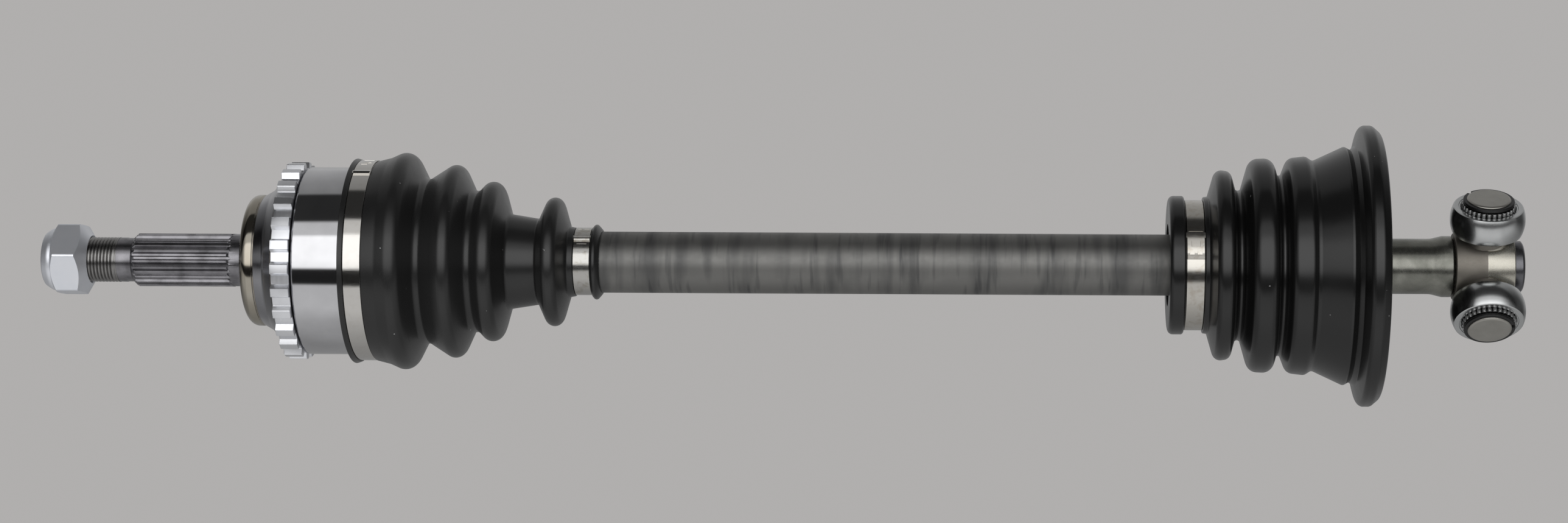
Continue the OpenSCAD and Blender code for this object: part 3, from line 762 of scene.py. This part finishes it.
def outer_boot():
    """The wheel-end boot as four lengths, cut at three stations along the shaft."""
    wall, left, right, lip_end, bore = 2.4, 10.8, 121.0, 20.8, 42.05
    lip = [(left, bore, 0), (left, 46.1, 0.3), (13.0, 45.3, 0.3), (13.0, 44.0, 0), (lip_end, 44.0, 0)]
    folds = [
        (21.0, 44.9, 0.3), (27, 46.4, 8), (35.4, 50.2, 5.2), (42.8, 35.9, 2.6), (57.2, 45.2, 4.1),
        (64.5, 29.8, 2.6), (74.1, 40, 4.4), (79.8, 21.4, 2.4), (92.9, 19.3, 1.2), (100.5, 35.4, 3.7),
        (106.6, 15.9, 1),
    ]
    tail = [
        (109.2, 15.4, 0.2), (109.3, 14.2, 0), (116.9, 14.2, 0.2), (117.0, 15.7, 0.3), (118.5, 17.5, 1.2),
        (right, 14.6, 0.5),
    ]
    inner = [(left, bore, 0), (21.4, bore, 0.3)] + inset(folds[1:], wall)
    inner += [(107.5, 12.25, 0), (116.4, 12.25, 0), (119.5, 13.8, 0), (right, 13.8, 0)]
    skin = rounded(lip + folds + tail, 12)
    lining = rounded(inner, 8)
    borders = [39.0, 44.5, 50.0]
    stations = [left] + borders + [right]
    for k in range(len(borders) + 1):
        low, high = stations[k], stations[k + 1]
        outline = clip(eased(skin, borders), low, high) + clip(eased(lining, borders), low, high)[::-1]
        piece = turned(f"outer_boot_length_{k + 1}", shifted(outline, OUTER_X), BOOT_TURNS, BOOT_CREASE)
        finish(piece, "dusty_rubber", replaces=["outer_boot"])
        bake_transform(piece)


def inner_boot():
    """The gearbox-end boot: the bearing's neck, the folds and the cone down to the flange."""
    wall, left, hole_r = 2.8, -142.4, 18.5
    neck = [
        (left, hole_r, 0.4), (left, 31.15, 2.4), (-135.5, 31.15, 1.2), (-135.2, 28.6, 0), (-127.0, 28.6, 0),
        (-126.8, 30.6, 0.5),
    ]
    folds = [
        (-124.8, 30.9, 0.6), (-121.2, 43.1, 3.6), (-114.7, 42.2, 3.2), (-111.2, 29.4, 1.6),
        (-105.8, 47.9, 4.9), (-96, 48.3, 4.9), (-93, 37.6, 1.4), (-88.8, 48.3, 4), (-81, 49.2, 3),
        (-77.8, 47.1, 2), (-63.6, 53.7, 1.6), (-61, 52.2, 0),
    ]
    lining = [
        (left, hole_r, 0), (-140.6, hole_r, 0.2), (-140.6, 26, 0), (-125.4, 26, 0), (-125.4, 25, 0),
        (-123.3, 25, 0),
    ]
    lining += inset(folds[1:], wall)
    outline = rounded(neck + folds, 12) + rounded(lining, 8)[::-1]
    piece = turned("inner_boot_bellows", outline, BOOT_TURNS, BOOT_CREASE)
    finish(piece, "boot_rubber", replaces=["inner_boot"])
    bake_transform(piece)


def boot_flange():
    """The thick rubber rim that the gearbox clamps; the CAD's steel ring is hidden in it."""
    left, right, bore, rim_r = -61, -47.9, 49.1, 63.2
    outline = rounded([
        (left, bore, 0), (left, 52.2, 0), (-58.9, 53.8, 1), (-56.7, 62.4, 2.6), (-55, rim_r, 1.4),
        (-51.6, rim_r, 2.4), (right, 60, 2.6), (right, bore, 0.3), (left, bore, 0),
    ], 9)[:-1]
    piece = turned("inner_boot_rim", outline, 208)
    finish(piece, "boot_rubber", "boot_flange", replaces=["inner_boot_flange"])


# ---- shaft ----


def fine_spline(x0, x1, tip_r, teeth=24, depth=0.95):
    """A short straight-flanked spline on the shaft, chamfered at both ends."""
    cut = tip_r - depth
    corners = tooth_corners(teeth, cut, tip_r, 0.6, 0.4, -math.pi / 2, 0.2)

    def outline(c):
        r = corners[c][1]
        chamfer_r = min(r, cut + 0.6)
        return [
            (x0, 0), (x0, cut - 0.2), (x0 + 0.8, chamfer_r), (x0 + 1.2, r),
            (x1 - 1.2, r), (x1 - 0.8, chamfer_r), (x1, cut - 0.2), (x1, 0),
        ]

    return revolved("spline", [turn for turn, r in corners], outline)


def drive_shaft():
    """The shaft in two finishes: dark drawn steel, and the oily length inside the open boot."""
    race_x, bearing_x, split = OUTER_X, -140.5, -60.0
    bar_r, thin_r, seat_r, boot_r = 13.75, 12.45, 12.6, 12.2
    left = rounded([
        (race_x - 15.5, 0, 0), (race_x - 15.5, 9.6, 0.6), (race_x - 14.4, 10, 0), (race_x + 13, 10, 0),
        (race_x + 13, 11.2, 0.4), (race_x + 102, 11.2, 4), (race_x + 106, boot_r, 4),
        (race_x + 116.5, boot_r, 1), (race_x + 119.5, bar_r, 1), (bearing_x - 0.1, bar_r, 0.3),
        (bearing_x - 0.1, seat_r, 0), (bearing_x + 15.2, seat_r, 0), (bearing_x + 15.2, 11.7, 0),
        (bearing_x + 16.5, 11.7, 0), (bearing_x + 16.5, thin_r, 0), (split, thin_r, 0), (split, 0, 0),
    ])
    right = rounded([
        (split, 0, 0), (split, thin_r, 0), (-24.5, thin_r, 10), (-19.2, bar_r, 2.4), (-15.4, bar_r, 0.4),
        (-14.7, 12.6, 0.3), (-14.0, 11.3, 0), (11, 11.3, 0), (12, 11.7, 0.2), (16.1, 11.75, 0.9),
        (17.0, 10.4, 0.5), (17.0, 3.3, 0.1), (16.0, 2.7, 0.1), (11.5, 2.7, 0), (10, 0, 0),
    ])
    race_spline = fine_spline(race_x - 12.3, race_x + 12.3, 11.0)
    dark = join(turned("drive_shaft_bar", left, 128), race_spline)
    oiled = join(turned("drive_shaft_end", right, 128), fine_spline(-13.9, 11.0, 12.4))
    finish(dark, "shaft_steel", "shaft", replaces=["drive_shaft"])
    finish(oiled, "oiled_steel", "shaft")


# ---- tripod ----


def on_trunnion(number):
    """Matrix that takes +X to the trunnion's own axis, through the tripod's centre."""
    axis = Vector(JOINTS[f"roller_spin_{number}"]["axis"])
    return axis.rotation_difference(Vector((1, 0, 0))).to_matrix().to_4x4().inverted()


def turned_on_trunnion(name, number, outline, columns=120, sharp=32.0):
    """A lathe-turned solid whose outline's x runs along the trunnion."""
    piece = turned(name, outline, columns, sharp)
    piece.data.transform(on_trunnion(number))
    return piece


def spider():
    """The spider: a hub with a ridge round its middle and three trunnions."""
    low, high, bore, ridge_r = -14.3, 12.3, 12.2, 16.35
    root, tip, collar_r, journal_r, groove_r = 13, 34.1, 10.6, 9.93, 9.43
    hub = turned("spider_hub", rounded([
        (low, bore, 0.2), (low, 15.1, 0.7), (-0.2, ridge_r, 0.5), (0.2, ridge_r, 0.5), (high, 15.0, 0.7),
        (high, 13.4, 0.2), (high - 2.3, 13.3, 0), (high - 2.4, bore, 0), (low, bore, 0),
    ], 5)[:-1], 144)
    trunnion = rounded([
        (root, 0, 0), (root, collar_r, 0), (16.2, collar_r, 0.3), (17, journal_r, 0.3),
        (31.85, journal_r, 0), (31.86, groove_r, 0), (33.35, groove_r, 0), (33.36, journal_r, 0.1),
        (33.8, 9.6, 0.5), (tip, 8.9, 0.4), (tip, 0, 0),
    ], 6)
    trunnions = [turned_on_trunnion(f"trunnion_{number}", number, trunnion) for number in (1, 2, 3)]
    piece = join(hub, *trunnions)
    piece.name = "tripod_spider_forging"
    finish(piece, "forged_steel", "shaft", replaces=["tripod_spider"])


def roller(number):
    """A crowned roller with ground faces and a relieved edge round its bore."""
    near, width, crown, face_r, bore = 17.6, 12.4, 16.8, 15.6, 12.17
    drop = crown - face_r
    arc_r = (width * width / 4 + drop * drop) / (2 * drop)
    half = math.asin(width / 2 / arc_r)
    steps, arc_share = 28, 0.965  # the arc stops short of the faces, which leaves a small chamfer
    offs = [half * (2 * k / steps - 1) for k in range(steps + 1)]
    tread = [
        (near + width / 2 + arc_r * math.sin(off) * arc_share, crown - arc_r * (1 - math.cos(off)))
        for off in offs
    ]
    edge = [(0, face_r - 0.45), (0, bore + 1.1), (0.25, bore + 0.9), (0.3, bore + 0.4), (0.7, bore)]
    face = [(near + step, r) for step, r in edge]
    back = [(near + width - step, r) for step, r in reversed(edge)]
    piece = turned_on_trunnion(f"roller_{number}_ring", number, face + back + tread[::-1], 144, 25.0)
    finish(piece, "roller_steel", f"roller_{number}", replaces=[f"roller_{number}"])


def snap_ring(number):
    """The black C-shaped ring that keeps a roller's needles on its trunnion."""
    low, width, r_in, r_out, edge = 31.9, 1.4, 9.45, 11.43, 0.35
    opening_at, gap, steps = 110, 13.0, 96
    start, end = opening_at + gap / 2, opening_at + 360 - gap / 2
    high = low + width
    section = rounded([(low, r_in, 0), (low, r_out, edge), (high, r_out, edge), (high, r_in, 0)], 4)
    size = len(section)
    turns = [math.radians(start + (end - start) * k / steps) for k in range(steps + 1)]
    verts = [around(x, r, turn) for turn in turns for x, r in section]
    faces = [
        (c * size + k, c * size + (k + 1) % size, (c + 1) * size + (k + 1) % size, (c + 1) * size + k)
        for c in range(steps)
        for k in range(size)
    ]
    faces += [tuple(range(size)), tuple(range(steps * size, (steps + 1) * size))]
    piece = solid(f"snap_ring_{number}", verts, faces)
    piece.data.transform(on_trunnion(number))
    finish(piece, "black_ring", "shaft", replaces=[f"trunnion_ring_{number}"])


# ---- stage ----


def studio_world():
    """Soft studio light: strip boxes along the shaft in front and above, with dark gaps between."""
    world = bpy.data.worlds.new("studio")
    bpy.context.scene.world = world
    world.use_nodes = True
    tree = world.node_tree
    tree.nodes.clear()

    def add(kind, inputs=None, **settings):
        return add_node(tree, kind, inputs, **settings).outputs

    # Elevation from the camera's side over the top to the back, in degrees, and its brightness
    strips = [
        (-180, 0.26), (-152, 0.3), (-120, 0.36), (-98, 0.46), (-80, 0.56), (-60, 0.74), (-31, 0.74),
        (-28, 0.02), (-11, 0.02), (-8, 1.6), (2, 1.8), (29, 1.8), (32, 0.86), (47, 0.8), (50, 0.035),
        (88, 0.035), (91, 0.3), (120, 0.4), (152, 0.52), (180, 0.36),
    ]
    brightest = max(level for degrees, level in strips)
    away = add("ShaderNodeSeparateXYZ", {0: add("ShaderNodeTexCoord")["Generated"]})
    towards = add("ShaderNodeMath", {0: away["Y"], 1: -1.0}, operation="MULTIPLY")[0]
    height = add("ShaderNodeMath", {0: away["Z"], 1: towards}, operation="ARCTAN2")[0]
    share = add("ShaderNodeMath", {0: height, 1: 1 / (2 * math.pi), 2: 0.5}, operation="MULTIPLY_ADD")[0]
    light = add_ramp(tree, share, [(degrees / 360 + 0.5, level / brightest) for degrees, level in strips])

    # The boxes end to the left and right of the object; a bright ground lies below
    side = add("ShaderNodeMath", {0: away["X"]}, operation="ABSOLUTE")[0]
    ends = add("ShaderNodeMapRange", {0: side, 1: 0.5, 2: 0.88, 3: brightest, 4: 0.15 * brightest})[0]
    ground = add("ShaderNodeMapRange", {0: away["Z"], 1: -0.02, 2: -0.35, 3: 0.0, 4: 0.8 * brightest})[0]
    power = add("ShaderNodeMath", {0: ends, 1: ground}, operation="MAXIMUM")[0]
    studio = add("ShaderNodeBackground", {"Color": light, "Strength": power})[0]

    # The camera itself sees the plain backdrop
    backdrop = add("ShaderNodeBackground", {"Color": (*BACKDROP, 1)})[0]
    seen = add("ShaderNodeLightPath")["Is Camera Ray"]
    chosen = add("ShaderNodeMixShader", {0: seen, 1: studio, 2: backdrop})[0]
    add("ShaderNodeOutputWorld", {0: chosen})


def studio_floor():
    """A floor under the boot's rim in the backdrop's own colour, seen by the camera only."""
    centre, reach, level = -0.3, 12.0, cad_box[0].z - 0.0002
    mesh = bpy.data.meshes.new("studio_floor")
    mesh.from_pydata(
        [(centre - reach, -reach, level), (centre + reach, -reach, level),
         (centre + reach, reach, level), (centre - reach, reach, level)],
        [], [(0, 1, 2, 3)],
    )
    floor = bpy.data.objects.new("studio_floor", mesh)
    bpy.context.scene.collection.objects.link(floor)
    material = bpy.data.materials.new("studio_floor")
    material.use_nodes = True
    tree = material.node_tree
    tree.nodes.clear()
    glow = add_node(tree, "ShaderNodeEmission", {"Color": (*BACKDROP, 1)})
    add_node(tree, "ShaderNodeOutputMaterial", {0: glow.outputs[0]})
    mesh.materials.append(material)
    for ray in ("glossy", "diffuse", "shadow", "transmission"):
        setattr(floor, f"visible_{ray}", False)


def camera():
    """The camera, level with the shaft and nearer the gearbox end, as a shifted view."""
    lens = bpy.data.cameras.new("camera")
    lens.lens, lens.sensor_width, lens.shift_x = 74.0, 36.0, -0.148
    lens.clip_start, lens.clip_end = 0.05, 60
    made = bpy.data.objects.new("camera", lens)
    made.location = (-0.2105, -1.45, 0.00126)
    made.rotation_euler = (math.radians(90), math.radians(-0.305), 0)
    bpy.context.scene.collection.objects.link(made)
    bpy.context.scene.camera = made


# ---- the whole object ----

for node, piece in frame["nodes"].items():
    piece.data.materials.clear()
    piece.data.materials.append(FINISHES[SLOTS[node]].material)

camera()
helical_thread()
stub_spline()
joint_shoulder()
joint_bell()
speed_ring()
hub_nut()
clamps()
outer_boot()
inner_boot()
boot_flange()
drive_shaft()
spider()
for number in (1, 2, 3):
    roller(number)
    snap_ring(number)

studio_world()
studio_floor()
bpy.context.scene.view_settings.view_transform = "Standard"
